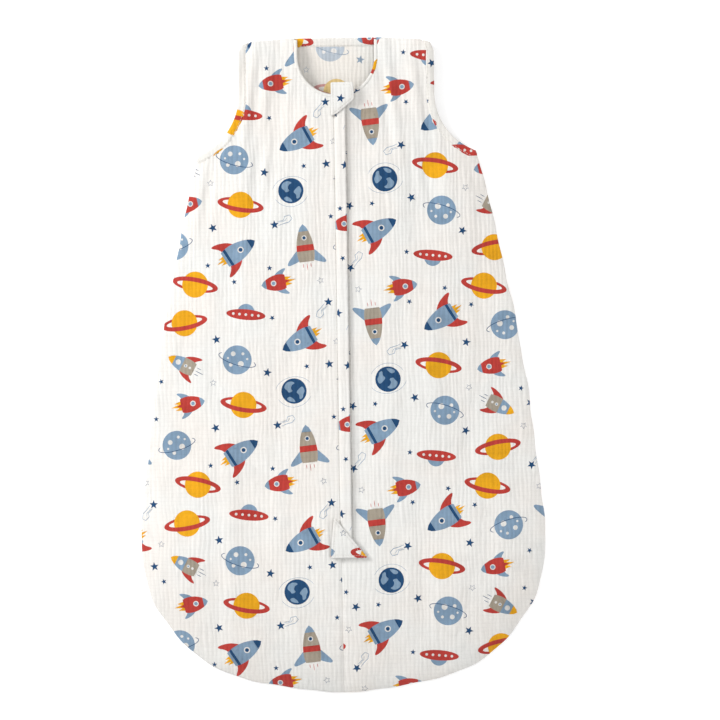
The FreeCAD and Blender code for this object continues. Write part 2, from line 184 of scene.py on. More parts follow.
def distance_in(points):
    """Distance of each place from the outline that the crown falls to, with the armholes left out."""
    return line_gap(np.column_stack([np.abs(points[:, 0]), points[:, 1]]), CROWN_EDGE)


# ---------------------------------------------------------------- soft noise, the same each run

def lattice(seed, count=64):
    return np.random.default_rng(seed).uniform(-1, 1, (count, count))


def noise(x, y, seed):
    """Smooth noise from -1 to 1 with a feature about one unit across."""
    grid = lattice(seed)
    size = len(grid)
    fx, fy = np.floor(x), np.floor(y)
    tx, ty = x - fx, y - fy
    tx, ty = tx * tx * (3 - 2 * tx), ty * ty * (3 - 2 * ty)
    ix, iy = fx.astype(int) % size, fy.astype(int) % size
    jx, jy = (ix + 1) % size, (iy + 1) % size
    low = grid[ix, iy] * (1 - tx) + grid[jx, iy] * tx
    high = grid[ix, jy] * (1 - tx) + grid[jx, jy] * tx
    return low * (1 - ty) + high * ty


def crinkle(x, y, seed):
    """Double gauze: uneven ridges along Y about 4.5 mm apart, broken by fainter ones across."""
    drift = 3.8 * noise(x / 30, y / 60, seed) + 2.0 * noise(x / 9, y / 32, seed + 5)
    ridge = np.sin((x + drift) * 2 * math.pi / 4.6) * (0.22 + 0.26 * noise(x / 8, y / 22, seed + 4))
    fine = noise((x + drift) / 2.3, y / 22, seed + 2) * 0.30
    across = noise(x / 6.0, y / 3.4, seed + 3) * 0.13
    return ridge + fine + across


def ease(value, low, high):
    share = np.clip((value - low) / (high - low), 0, 1)
    return share * share * (3 - 2 * share)


SEAM_Z, FRONT_SEED = 2.75, 11


def plain_z(points):
    """The front's outer face without crinkles: a low crown falling to the side seams, hem and shoulders."""
    seed = FRONT_SEED
    x, y = points[:, 0], points[:, 1]
    reach = distance_in(points)
    spine = np.interp(y, [HEM_Y, ZIP_FOOT_Y, -130, 20, 226, 360], [147, 147, 215, 193, 148.5, 150.5])
    share = np.clip(reach / spine, 0, 1)
    crown = (1 - (1 - share) ** 2.2) ** 0.72
    height = np.where(y > ZIP_FOOT_Y, zip_z(y), ZIP_FOOT_Z)
    shoulder_fall = np.sqrt(np.clip(1 - ((y - 318) / (TOP_Y - 318)).clip(0, 1) ** 2, 0, 1))
    z = SEAM_Z + (height - SEAM_Z) * crown * (0.08 + 0.92 * shoulder_fall)
    near_zip = ease(np.abs(x - ZIP_X), 5, 26)
    below = ease(-y, -ZIP_FOOT_Y, -ZIP_FOOT_Y + 20)
    free = np.maximum(near_zip, below) * ease(reach, 0, 26)
    z += free * (2.0 * noise(x / 46, y / 150, seed + 5) + 1.2 * noise(x / 17, y / 85, seed + 6))
    z += free * (0.5 * noise(x / 30, y / 30, seed + 7))
    arm = np.hypot(np.abs(x) - ARM_C[0], y - ARM_C[1]) - ARM_R
    fold = ease(110 - arm, 0, 80) * ease(y, 60, 170)
    z += free * fold * (1.9 * noise((x + 0.12 * y * np.sign(x)) / 8.5, y / 95, seed + 8))
    pucker = np.exp(-reach / 9) * np.minimum(1, reach / 2)
    z += pucker * 0.8 * noise(x / 6.5 + y / 6.5, (x - y) / 60, seed + 9)
    seam = np.exp(-((x - SEAM_X) / 1.7) ** 2) * ease(ZIP_FOOT_Y - y, -3, 4)
    z -= 1.1 * seam
    pull = np.exp(-(np.abs(x - SEAM_X) / 8)) * below * np.minimum(1, np.abs(x - SEAM_X) / 2)
    z += pull * 0.55 * noise(x / 30, y / 5.5, seed + 10)
    return z


def front_z(points):
    """The front's outer face, with its crinkles calmer beside the zip and the edges."""
    x, y = points[:, 0], points[:, 1]
    near_zip = ease(np.abs(x - ZIP_X), 5, 26)
    edge_hold = 0.35 + 0.65 * ease(distance_in(points), 0, 8)
    return plain_z(points) + crinkle(x, y, FRONT_SEED) * edge_hold * np.minimum(1, 0.4 + near_zip)


# ---------------------------------------------------------------- the print, drawn here in millimetres

RED, YELLOW, GREY = "ink_red", "ink_yellow", "ink_greyblue"
NAVY, TAUPE, WHITE = "ink_navy", "ink_taupe", "ink_white"


def disc(x, y, radius, stretch=1.0, count=None):
    count = count or max(10, int(radius * 2.2))
    turn = np.linspace(0, 2 * math.pi, count, endpoint=False)
    return np.stack([x + radius * np.cos(turn), y + radius * stretch * np.sin(turn)], 1)


def stroke(points, width):
    """A drawn line of that width as one closed outline, tapered a little at its ends."""
    points = np.asarray(points, float)
    run = np.gradient(points, axis=0)
    run /= np.maximum(np.linalg.norm(run, axis=1, keepdims=True), 1e-9)
    side = np.stack([-run[:, 1], run[:, 0]], 1) * width / 2
    side[0] *= 0.5
    side[-1] *= 0.5
    return np.concatenate([points + side, (points - side)[::-1]])


def loop_stroke(points, width):
    """A closed drawn line, cut open at its start."""
    return stroke(np.concatenate([points, points[:1]]), width)


def sweep(x, y, radius_x, radius_y, start, stop, count=16):
    turn = np.radians(np.linspace(start, stop, count))
    return np.stack([x + radius_x * np.cos(turn), y + radius_y * np.sin(turn)], 1)


def blob(points, rounds=2):
    """A drawn shape with its corners cut round."""
    points = np.asarray(points, float)
    for _ in range(rounds):
        ahead = np.roll(points, -1, 0)
        points = np.stack([points * 0.75 + ahead * 0.25, points * 0.25 + ahead * 0.75], 1).reshape(-1, 2)
    return points


def star_points(radius):
    angles = np.radians(90 + np.arange(10) * 36)
    reach = np.where(np.arange(10) % 2 == 0, radius, radius * 0.42)
    return np.stack([reach * np.cos(angles), reach * np.sin(angles)], 1)


def small_star():
    return [(star_points(3.2), NAVY)]


def big_star():
    return [(star_points(5.0), NAVY)]


def line_star():
    return [(loop_stroke(star_points(3.6), 0.45), NAVY)]


def comet():
    """A star with a drawn tail."""
    tail = [(-1, -4), (-6, -9), (-5, -13), (-9, -17), (-13, -15), (-12, -10), (-8, -6), (-4, -1)]
    inner = [(-3, -4.5), (-7.5, -9), (-8, -13)]
    return [(stroke(tail, 0.6), GREY), (stroke(inner, 0.5), GREY), (star_points(5.0), NAVY)]


def half_ring(start, stop):
    """Half of a planet's ring, thin behind and at its ends, broad in front."""
    return np.concatenate([sweep(0, 0, 25, 7.6, start, stop, 24), sweep(0, 0.9, 19.5, 3.7, stop, start, 24)])


def ringed_planet():
    return [(half_ring(0, 180), RED), (disc(0, 0, 14), YELLOW), (half_ring(180, 360), RED)]


def cratered_planet():
    """A plain planet with round craters and one thin orbit line."""
    shapes = [(disc(0, 0, 15.5), GREY)]
    craters = [(-6, 5, 2.6), (4, 8, 1.6), (5, -3, 3.2), (-5, -7, 2.0), (-10, -1, 1.2), (10, 4, 1.2)]
    for x, y, radius in craters:
        shapes.append((disc(x, y, radius, count=12), WHITE))
    return shapes + [(stroke(sweep(0, 0, 20.5, 5.4, 150, 390, 30), 0.7), NAVY)]


def globe():
    land = [(-10, 5), (-7, 10), (-1, 11), (3, 8), (-1, 7), (-3, 3), (-1, 0), (-6, -1), (-7, 2)]
    other = [(2, -2), (5, 1), (10, 4), (11.5, -2), (9, -5), (8, -9), (4, -10), (5, -5)]
    third = [(-9, -6), (-5, -5), (-2, -8), (0, -12), (-4, -11), (-8, -9)]
    shapes = [(stroke(sweep(0, 0, 20, 15, 20, 160, 18), 0.35), GREY),
              (stroke(sweep(0, 0, 19, 17, 200, 330, 18), 0.35), GREY), (disc(0, 0, 13.5), NAVY)]
    return shapes + [(blob(shape), GREY) for shape in (land, other, third)]


def saucer():
    """A plain flying saucer: a dome on a wide dish with lit windows."""
    shapes = [(sweep(0, 1.5, 9.5, 10, 0, 180, 16), GREY), (disc(0, 0, 21, stretch=0.27), RED)]
    return shapes + [(disc(x, 0, 1.5, count=8), WHITE) for x in (-13.5, -6.8, 0, 6.8, 13.5)]


def hull(half_width, low, high, nose=0.45):
    """A rocket's hull standing up: widest below its middle, pointed at its nose."""
    level = np.linspace(0, 1, 14)
    width = half_width * np.sin(np.pi * (0.26 + 0.74 * level ** 0.9)) ** nose
    width[-1] = 0.15
    y = low + (high - low) * level
    return np.concatenate([np.stack([width, y], 1), np.stack([-width, y], 1)[::-1]])


def hull_slice(shape, low, high):
    """The part of a hull between two levels."""
    count = len(shape) // 2
    y, width = shape[:count, 1], shape[:count, 0]
    levels = np.linspace(low, high, 6)
    half = np.interp(levels, y, width)
    return np.concatenate([np.stack([half, levels], 1), np.stack([-half, levels], 1)[::-1]])


def fin(side, root_x, root_low, root_high, reach, drop):
    """A leaf-shaped fin on one side of a hull."""
    tip = (root_x + reach, root_low - drop)
    shape = [(root_x, root_high), (root_x + reach * 0.7, root_high - (root_high - root_low) * 0.45),
             (root_x + reach * 1.08, root_low - drop * 0.35), tip,
             (root_x + reach * 0.45, root_low - drop * 0.1), (root_x - 0.6, root_low)]
    return blob(shape) * [side, 1]


def flame(width, top, length, lobes=3):
    """A flame under a hull, one long lobe between shorter ones."""
    points = [(-width, top)]
    for count in range(lobes):
        middle = -width + (count + 0.5) * 2 * width / lobes
        deep = length if count == lobes // 2 else length * 0.68
        points += [(middle, top - deep), (middle + width / lobes, top - length * 0.32)]
    points[-1] = (width, top)
    return np.array(points, float)


def trail(top, gap, short, middle, ink):
    """Three lines under a rocket, the middle one longer."""
    lines = [(-gap, short), (0, middle), (gap, short)]
    return [(stroke([(x, top), (x, top - length / 2), (x, top - length)], 0.7), ink) for x, length in lines]


def porthole(y, radius, glass):
    return [(disc(0, y, radius, count=12), WHITE), (disc(0, y, radius - 1, count=10), glass)]


def blue_rocket():
    """The large grey-blue rocket with a navy nose and red fins."""
    body = hull(10.2, -16, 22, 0.62)
    shapes = [(flame(5, -14, 12), YELLOW)]
    shapes += [(fin(side, 6.6, -14, 3, 12, 9), RED) for side in (-1, 1)]
    shapes += [(body, GREY), (hull_slice(body, 15, 22), NAVY), (hull_slice(body, -13, -10), NAVY)]
    return shapes + [(disc(0, 4, 3.4, count=12), WHITE), (disc(0, 4, 2.2, count=10), NAVY)]


def red_rocket():
    """The small red rocket with a yellow flame."""
    body = hull(8.6, -11, 15, 0.6)
    shapes = [(flame(5.4, -9.5, 12.5), YELLOW), (flame(2.2, -10, 6, 1), RED)]
    shapes += [(fin(side, 5.4, -9, 2, 8, 5), GREY) for side in (-1, 1)]
    return shapes + [(body, RED), (hull_slice(body, 10, 15), GREY)] + porthole(2, 3.0, GREY)


def taupe_rocket():
    """The taupe and blue rocket with a yellow nose, red fins and a trail of lines."""
    body = hull(8.2, -13, 18, 0.6)
    shapes = [(fin(side, 5.2, -10, 4, 8.5, 8), RED) for side in (-1, 1)]
    shapes += [(body, TAUPE), (hull_slice(body, 1, 11), GREY), (hull_slice(body, 11, 18), YELLOW),
               (disc(0, 6, 2.9, count=12), WHITE), (disc(0, -3, 1.8, count=10), WHITE),
               (disc(0, -8, 1.4, count=10), WHITE), (disc(0, -3, 1.0, count=8), GREY)]
    return shapes + trail(-15, 3.6, 5, 9, NAVY)


def standing_rocket():
    """The upright taupe rocket with a red belt and blue fins."""
    body = hull(9.4, -18, 22, 0.6)
    shapes = []
    for side in (-1, 1):
        wing = [(6, -2), (13, -9), (21, -18), (20, -21), (13, -19), (6, -16)]
        shapes.append((blob(wing, 1) * [side, 1], GREY))
    shapes += [(body, TAUPE), (hull_slice(body, 14.5, 22), GREY), (hull_slice(body, -6.5, 0), RED)]
    return shapes + porthole(7.5, 2.8, NAVY) + trail(-20, 4, 4, 7, RED)


# One repeat of the print: drawing, place in the repeat, turn in degrees.
REPEAT = (190.0, 213.0)
MOTIFS = [
    (ringed_planet, 30, 186, 10), (saucer, 96, 194, -6), (blue_rocket, 154, 166, 118),
    (taupe_rocket, 28, 142, 62), (cratered_planet, 86, 146, -18), (red_rocket, 36, 100, -78),
    (globe, 146, 112, 10), (ringed_planet, 92, 98, -10), (standing_rocket, 160, 54, 6),
    (cratered_planet, 20, 56, 16), (blue_rocket, 88, 48, -58), (ringed_planet, 42, 14, 168),
    (red_rocket, 128, 14, 100), (big_star, 64, 168, 10), (small_star, 124, 190, 30), (comet, 184, 206, 0),
    (line_star, 60, 122, 0), (big_star, 118, 132, -12), (small_star, 4, 124, 20), (big_star, 62, 74, 24),
    (comet, 128, 76, 150), (small_star, 188, 84, 0), (small_star, 84, 16, 12), (line_star, 176, 16, 20),
    (small_star, 56, 34, 0), (line_star, 2, 164, 0), (big_star, 184, 140, 8), (small_star, 122, 30, 0),
    (small_star, 160, 138, 15),
]


def printed(outline, offset, turn=False):
    """The print's shapes over a plan outline, each with its ink."""
    if turn:
        return [(-points, ink) for points, ink in printed(-outline, (-offset[0], -offset[1]))]
    box = (*outline.min(0), *outline.max(0))
    shapes, reach = [], 32
    low = [math.floor((box[k] - offset[k]) / REPEAT[k]) - 1 for k in (0, 1)]
    high = [math.ceil((box[k + 2] - offset[k]) / REPEAT[k]) + 1 for k in (0, 1)]
    for column in range(low[0], high[0]):
        for row in range(low[1], high[1]):
            for drawing, x, y, angle in MOTIFS:
                centre = np.array([offset[0] + column * REPEAT[0] + x, offset[1] + row * REPEAT[1] + y])
                across = box[0] - reach < centre[0] < box[2] + reach
                if not (across and box[1] - reach < centre[1] < box[3] + reach):
                    continue
                spin = math.radians(angle)
                matrix = np.array([[math.cos(spin), math.sin(spin)], [-math.sin(spin), math.cos(spin)]])
                shapes += [(points @ matrix + centre, ink) for points, ink in drawing()]
    return shapes


def inside(points, polygon):
    """Which points lie in a polygon."""
    x, y = points[:, 0], points[:, 1]
    odd = np.zeros(len(points), bool)
    ahead = np.roll(polygon, -1, 0)
    for (ax, ay), (bx, by) in zip(polygon, ahead):
        crosses = (ay > y) != (by > y)
        if by != ay:
            odd ^= crosses & (x < (bx - ax) * (y - ay) / (by - ay) + ax)
    return odd


# ---------------------------------------------------------------- meshes

def finished(name, points, faces, materials, ids=None):
    """A mesh object from points in millimetres."""
    mesh = bpy.data.meshes.new(name)
    mesh.from_pydata((np.asarray(points, float) * MM).tolist(), [], [list(map(int, f)) for f in faces])
    obj = bpy.data.objects.new(name, mesh)
    bpy.context.scene.collection.objects.link(obj)
    for material in materials:
        mesh.materials.append(material)
    if ids is not None:
        mesh.polygons.foreach_set("material_index", np.asarray(ids, np.int32))
    mesh.polygons.foreach_set("use_smooth", np.full(len(mesh.polygons), True))
    mesh.update()
    return obj


def cut_cloth(outline, step, shapes=()):
    """Triangles over a plan outline, with the inks' outlines drawn into them as edges."""
    outline = np.asarray(outline, float)
    low, high = outline.min(0), outline.max(0)
    xs = np.arange(low[0] + step / 2, high[0], step)
    ys = np.arange(low[1] + step / 2, high[1], step)
    grid = np.stack(np.meshgrid(xs, ys, indexing="ij"), -1).reshape(-1, 2)
    odd = (np.round((grid[:, 1] - low[1]) / step).astype(int) % 2) * step / 2
    grid[:, 0] += odd
    grid = grid[inside(grid, outline)]
    gap = np.full(len(grid), 1e9)
    for point in outline:
        gap = np.minimum(gap, np.hypot(*(grid - point).T))
    grid = grid[gap > step * 0.45]
    base = len(outline)
    faces, points, drawn = [list(range(base))], [outline], []
    for shape, ink in shapes:
        if (shape.max(0) > low).all() and (shape.min(0) < high).all():
            faces.append(list(range(base, base + len(shape))))
            points.append(shape)
            drawn.append((shape, ink))
            base += len(shape)
    points.append(grid)
    flat = np.concatenate(points)
    verts, _, tris, _, _, _ = delaunay_2d_cdt([Vector(p) for p in flat.tolist()], [], faces, 0, 1e-4)
    plan = np.array([v[:] for v in verts], float)
    tris = np.array(tris)
    middle = plan[tris].mean(1)
    kept = inside(middle, outline)
    tris, middle = tris[kept], middle[kept]
    inks = np.full(len(tris), None, object)
    for shape, ink in drawn:
        near = np.flatnonzero(((middle > shape.min(0)) & (middle < shape.max(0))).all(1))
        inks[near[inside(middle[near], shape)]] = ink
    used, renumbered = np.unique(tris, return_inverse=True)
    return plan[used], renumbered.reshape(tris.shape).tolist(), list(inks)


def grid_cloth(columns, rows):
    """A plan of square cells between columns and rows."""
    x, y = (g.ravel() for g in np.meshgrid(columns, rows))
    wide = len(columns)
    faces = [[r * wide + c, r * wide + c + 1, (r + 1) * wide + c + 1, (r + 1) * wide + c]
             for r in range(len(rows) - 1) for c in range(wide - 1)]
    return np.column_stack([x, y]), faces


def thick_cloth(name, plan, faces, inks, height, thickness, cloth, ink_set=None, face_up=True):
    """A cloth panel of that thickness: its printed face on one side, the bare back on the other."""
    names = [None] + sorted({ink for ink in inks if ink})
    materials = [cloth] + [(ink_set or INKS)[ink] for ink in names[1:]]
    ids = [names.index(ink) for ink in inks]
    face = np.column_stack([plan, height])
    rear = face - [0, 0, thickness] if face_up else face + [0, 0, thickness]
    count = len(face)
    faces = [list(f) for f in faces]
    signed = sum(np.cross(plan[f[1]] - plan[f[0]], plan[f[2]] - plan[f[0]]) for f in faces[:50])
    if (signed > 0) != face_up:
        faces = [f[::-1] for f in faces]
    edges = {}
    for f in faces:
        for a, b in zip(f, f[1:] + f[:1]):
            edges[(a, b)] = edges.get((a, b), 0) + 1
    rim = [(a, b) for (a, b) in edges if (b, a) not in edges]
    back = [[index + count for index in f[::-1]] for f in faces]
    wall = [[b, a, a + count, b + count] for a, b in rim]
    return finished(name, np.concatenate([face, rear]), faces + back + wall, materials,
                    ids + [0] * (len(back) + len(wall)))


def ribbon(name, centre, section, materials):
    """A closed strip along frames of (point, across, up), with its section in (across, up)."""
    section = np.asarray(section, float)
    rows = []
    for point, across, up in centre:
        rows.append(point + np.outer(section[:, 0], across) + np.outer(section[:, 1], up))
    count = len(section)
    points = np.concatenate(rows)
    faces = []
    for row in range(len(rows) - 1):
        for k in range(count):
            nxt = (k + 1) % count
            a, b = row * count, (row + 1) * count
            faces.append([a + k, a + nxt, b + nxt, b + k])
    faces.append(list(range(count))[::-1])
    faces.append([(len(rows) - 1) * count + k for k in range(count)])
    return mend(finished(name, points, faces, materials))


def mend(obj):
    """Turns a closed mesh's faces outwards."""
    work = bmesh.new()
    work.from_mesh(obj.data)
    bmesh.ops.recalc_face_normals(work, faces=work.faces)
    work.to_mesh(obj.data)
    work.free()
    return obj


def joined(name, parts):
    """Several meshes as one object that keeps each one's materials."""
    bpy.ops.object.select_all(action="DESELECT")
    for part in parts:
        part.select_set(True)
    bpy.context.view_layer.objects.active = parts[0]
    bpy.ops.object.join()
    parts[0].name = name
    parts[0].data.name = name
    return parts[0]


def frames_along(points, up=(0, 0, 1)):
    """Frames along a line in space, with across to the right of travel and up near the given way."""
    points = np.asarray(points, float)
    run = np.gradient(points, axis=0)
    run /= np.linalg.norm(run, axis=1, keepdims=True)
    across = np.cross(run, np.asarray(up, float))
    across /= np.linalg.norm(across, axis=1, keepdims=True)
    return [(p, a, np.cross(a, r)) for p, a, r in zip(points, across, run)]


def stitches(name, points, material, long=2.6, gap=1.0, width=0.45, height=0.22):
    """Topstitching: short raised threads along a line in space."""
    points = np.asarray(points, float)
    lengths = np.concatenate([[0], np.cumsum(np.linalg.norm(np.diff(points, axis=0), axis=1))])
    verts, faces = [], []
    at = gap
    while at + long < lengths[-1]:
        stops = at + long * np.array([0, 0.25, 0.5, 0.75, 1])
        spine = np.stack([np.interp(stops, lengths, points[:, k]) for k in range(3)], 1)
        run = spine[-1] - spine[0]
        side = np.cross(run / np.linalg.norm(run), (0, 0, 1)) * width / 2
        lift = np.array([-0.12, 0.6, 0.85, 0.6, -0.12])[:, None] * np.array([0, 0, height])
        base = len(verts)
        for k, scale in enumerate((0.5, 1, 1, 1, 0.5)):
            centre = spine[k] + lift[k]
            left, right = centre - side * scale, centre + side * scale
            verts += [left - [0, 0, 0.12], centre + [0, 0, 0.1], right - [0, 0, 0.12]]
        for k in range(4):
            a, b = base + k * 3, base + k * 3 + 3
            faces += [[a, a + 1, b + 1, b], [a + 1, a + 2, b + 2, b + 1], [a + 2, a, b, b + 2]]
        faces += [[base, base + 2, base + 1], [base + 12, base + 13, base + 14]]
        at += long + gap
    return mend(finished(name, verts, faces, [material]))


# ---------------------------------------------------------------- materials

def fill(tree, node, sockets):
    """Sets a node's sockets to numbers, or links them from another node's output."""
    for name, value in sockets.items():
        if isinstance(value, bpy.types.NodeSocket):
            tree.links.new(value, node.inputs[name])
        else:
            node.inputs[name].default_value = value
    return node


def add(tree, kind, sockets, **settings):
    node = tree.nodes.new("ShaderNode" + kind)
    for name, value in settings.items():
        setattr(node, name, value)
    return fill(tree, node, sockets)


def new_material(name):
    """A material, its nodes, its shader and the place on the piece that its patterns follow."""
    material = bpy.data.materials.new(name)
    material.use_nodes = True
    tree = material.node_tree
    return material, tree, tree.nodes["Principled BSDF"], add(tree, "TexCoord", {}).outputs["Object"]


def waves(tree, place, axis, pitch, distortion, detail=1.0, detail_scale=1.0):
    """Bands along an axis, a pitch in millimetres apart."""
    sockets = {"Vector": place, "Scale": math.pi / 10 / (pitch * MM), "Distortion": distortion,
               "Detail": detail, "Detail Scale": detail_scale}
    return add(tree, "TexWave", sockets, bands_direction=axis).outputs["Fac"]


def weave(tree, place, pitch):
    """Threads crossing both ways, as a height."""
    across, along = (waves(tree, place, axis, pitch, 1.2) for axis in "XY")
    return add(tree, "Math", {0: across, 1: along}, operation="MULTIPLY").outputs[0]


def tucks(tree, place, axis, pitch, stretch, distortion):
    """Narrow tucks between the puffs of double gauze, about a pitch apart, as a height from 0 to 1 that also
    masks the painted shade in their valleys.
    """
    stretched = add(tree, "Mapping", {"Vector": place, "Scale": stretch}).outputs["Vector"]
    return waves(tree, stretched, axis, pitch, distortion, 2.0, 0.7)


def mixed(tree, factor, low, high, at=(0.3, 0.7)):
    """A colour between two, by a factor's place between two stops."""
    ramp = add(tree, "ValToRGB", {"Fac": factor})
    for stop, position, colour in zip(ramp.color_ramp.elements, at, (low, high)):
        stop.position = position
        stop.color = (*colour, 1)
    return ramp.outputs["Color"]


def linear(red, green, blue):
    """Scene colour of a display colour in 0 to 255."""
    return tuple(((c / 255 + 0.055) / 1.055) ** 2.4 for c in (red, green, blue))


def shade(colour, factor):
    return tuple(min(1, c * factor) for c in colour)


def multiplied(tree, first, second, share=1.0):
    """One colour darkened by another, evenly or in patches."""
    sockets = {"Factor": share, "A": first, "B": second}
    return add(tree, "Mix", sockets, data_type="RGBA", blend_type="MULTIPLY").outputs["Result"]


def added(tree, first, second, share):
    return add(tree, "Math", {0: first, 1: share, 2: second}, operation="MULTIPLY_ADD").outputs[0]


def noise_of(tree, place, scale, detail=4):
    return add(tree, "TexNoise", {"Vector": place, "Scale": scale, "Detail": detail}).outputs["Fac"]


TUCK_X, TUCK_Y = 4.6, 4.2


def cloth(name, colour, dark=0.93, pitch=0.9, bump=0.25, fine=0.12, gauze=0.0):
    """Plain cotton with an open weave and uneven colour, or double gauze whose tuck lines are bumped and
    darkened as painted shade.
    """
    material, tree, shader, place = new_material(name)
    height = threads = weave(tree, place, pitch)
    dye = mixed(tree, noise_of(tree, place, 55, 5), shade(colour, dark), colour)
    fibre = mixed(tree, threads, shade((1, 1, 1), 1 - fine * 2), (1, 1, 1), (0.0, 0.6))
    result = multiplied(tree, dye, fibre, 0.5)
    if gauze:
        upright = tucks(tree, place, "X", TUCK_X, (1, 0.3, 1), 6.5)
        level = tucks(tree, place, "Y", TUCK_Y, (0.5, 1, 1), 4.5)
        # Painted shade: the colour darkens along the upright tucks, in the valleys between the puffs, in
        # noisy patches, and more faintly along the tucks across; gauze sets how dark it gets.
        painted_tuck_shade = mixed(tree, upright, (1 - gauze, 1 - gauze, 1 - gauze * 1.05), (1, 1, 1), (0.0, 0.34))
        painted_cross_tuck_shade = mixed(tree, level, (1 - gauze * 0.35,) * 3, (1, 1, 1), (0.0, 0.26))
        spread = {"Value": noise_of(tree, place, 60, 3), "From Min": 0.36, "From Max": 0.64, "To Min": 0.15}
        painted_shade_share = add(tree, "MapRange", spread).outputs["Result"]
        pinkish, bluish = (0.99, 0.955, 0.945), (0.955, 0.97, 0.99)
        through = mixed(tree, noise_of(tree, place, 17, 2), pinkish, bluish, (0.36, 0.64))
        result = multiplied(tree, result, painted_tuck_shade, painted_shade_share)
        result = multiplied(tree, result, painted_cross_tuck_shade)
        result = multiplied(tree, result, through, 0.7)
        height = added(tree, upright, added(tree, level, threads, 0.4), 1.6)
    bumped = add(tree, "Bump", {"Strength": bump, "Distance": 0.0007 if gauze else 0.0004, "Height": height})
    fill(tree, shader, {"Base Color": result, "Normal": bumped.outputs["Normal"], "Roughness": 0.92,
                        "Specular IOR Level": 0.15, "Sheen Weight": 0.1, "Sheen Roughness": 0.6})
    return material


def metal(name, colour, roughness=0.28):
    """Painted or plated zip metal with faint brushing and wear."""
    material, tree, shader, place = new_material(name)
    grain = noise_of(tree, place, 900)
    spread = add(tree, "MapRange", {"Value": grain, "To Min": roughness - 0.06, "To Max": roughness + 0.14})
    fill(tree, shader, {"Base Color": mixed(tree, grain, shade(colour, 0.82), colour),
                        "Roughness": spread.outputs["Result"], "Metallic": 0.9})
    return material


CREAM = linear(246, 244, 239)
MUSLIN = cloth("printed_muslin", CREAM, 0.96, 0.9, 0.42, gauze=0.085)
LINING = cloth("lining_muslin", linear(244, 241, 234), 0.95, 0.9, 0.4, gauze=0.08)
BINDING = cloth("binding_cotton", linear(245, 243, 237), 0.95, 0.6, 0.4, gauze=0.06)
STRIPE = cloth("cover_cotton", linear(246, 244, 239), 0.95, 0.6, 0.4, gauze=0.07)
TAPE = cloth("zip_tape_weave", linear(240, 238, 232), 0.9, 0.5, 0.5)
COIL = cloth("zip_coil_nylon", linear(232, 230, 222), 0.95, 0.4, 0.1)
THREAD = cloth("sewing_thread", linear(238, 235, 227), 0.9, 0.25, 0.5)
LABEL = cloth("label_satin", linear(246, 245, 241), 0.96, 0.3, 0.2)
METAL = metal("zip_painted_metal", linear(226, 223, 214))
INK_COLOURS = {RED: (200, 66, 58), YELLOW: (250, 180, 24), GREY: (140, 168, 194), NAVY: (32, 78, 122),
               TAUPE: (176, 165, 148), WHITE: (242, 240, 235)}
SHOWING = 0.42
INKS, FADED = {}, {}
for ink, rgb in INK_COLOURS.items():
    INKS[ink] = cloth(ink, linear(*rgb), 0.8, 0.9, 0.42, fine=0.14, gauze=0.09)
for ink, rgb in INK_COLOURS.items():
    pale = linear(*[c * SHOWING + 240 * (1 - SHOWING) for c in rgb])
    FADED[ink] = cloth(ink + "_wrong_side", pale, 0.88, 0.9, 0.5, gauze=0.12)


# ---------------------------------------------------------------- helpers applied to each piece


def over_fold(obj):
    """A piece of the front, with its transform baked into its mesh."""
    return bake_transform(obj)


def over_foot(obj):
    """A zip part, with its transform baked into its mesh."""
    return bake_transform(obj)


def as_sheet(obj):
    """A cloth piece, returned as it is."""
    return obj


# ---------------------------------------------------------------- outlines of the cloth pieces

def hem_y(x):
    return TOE[1] - math.sqrt(TOE_R ** 2 - x ** 2)


def front_outline(side):
    """One half of the front, from the centre seam and zip to the side seam."""
    arm, band = ARM_BAND - 1.2, NECK_BAND - 0.8
    outer = np.concatenate([hem_and_side(), armhole(arm)[1:], shoulder(band, arm)])
    if side == "right":
        edge, seam = RIGHT_EDGE, SEAM_X
    else:
        edge, seam = -LEFT_EDGE, -SEAM_X
    start = np.array([seam, hem_y(seam)])
    outer = outer[outer[:, 0] > seam + 1.0]
    inner = neck(band, edge)[1:]
    foot = line((edge, inner[-1][1]), (edge, ZIP_FOOT_Y), 4)[1:]
    close = line((seam, ZIP_FOOT_Y), start, 4)[:-1]
    whole = np.concatenate([[start], outer, inner, foot, close if seam != edge else close[1:]])
    return whole if side == "right" else mirrored(whole)


def back_outline():
    half = np.concatenate([hem_and_side(), armhole(ARM_BAND - 1.2)[1:], shoulder(0, ARM_BAND - 1.2)])
    half = half[half[:, 0] > 1.0]
    top = line((NECK_R - 1, TOP_Y - 1.5), (-NECK_R + 1, TOP_Y - 1.5), 4)
    return np.concatenate([half, top, mirrored(half)])


def back_z(points, seed=40):
    """The back's lower face on the table: nearly flat, lifting a little in places."""
    x, y = points[:, 0], points[:, 1]
    return 0.18 + 0.12 * noise(x / 20, y / 45, seed) + 0.06 * noise(x / 3, y / 20, seed + 1)


# ---------------------------------------------------------------- cloth pieces

PLY, CELL = 0.45, 1.75
# Where each panel's print starts, and whether it runs upside down.
PRINT_AT = {"left": ((-196.0, -352.0), False), "right": ((196.0, -330.0), True),
            "back": ((-92.0, -232.0), False)}
fronts = {}
for side in ("left", "right"):
    outline = front_outline(side)
    offset, turn = PRINT_AT[side]
    plan, faces, inks = cut_cloth(outline, CELL, printed(outline, offset, turn))
    panel = thick_cloth(side + "_front", plan, faces, inks, np.maximum(front_z(plan), 2.5), PLY, MUSLIN)
    over_fold(panel)
    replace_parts(panel, side + "_front_panel", side + "_lapel_panel")
    fronts[side] = (panel, plan, faces)

    plan, faces, inks = cut_cloth(outline, 3.4)
    reach = distance_in(plan)
    lift = plain_z(plan) - 0.9 - 0.9 * ease(reach, 2, 20) + 0.3 * noise(plan[:, 0] / 4, plan[:, 1] / 30, 61)
    lining = thick_cloth(side + "_front_inside", plan, faces, inks, np.maximum(lift, 1.95), PLY, LINING)
    over_fold(lining)
    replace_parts(lining, side + "_front_lining", side + "_lapel_lining")
    as_sheet(lining)

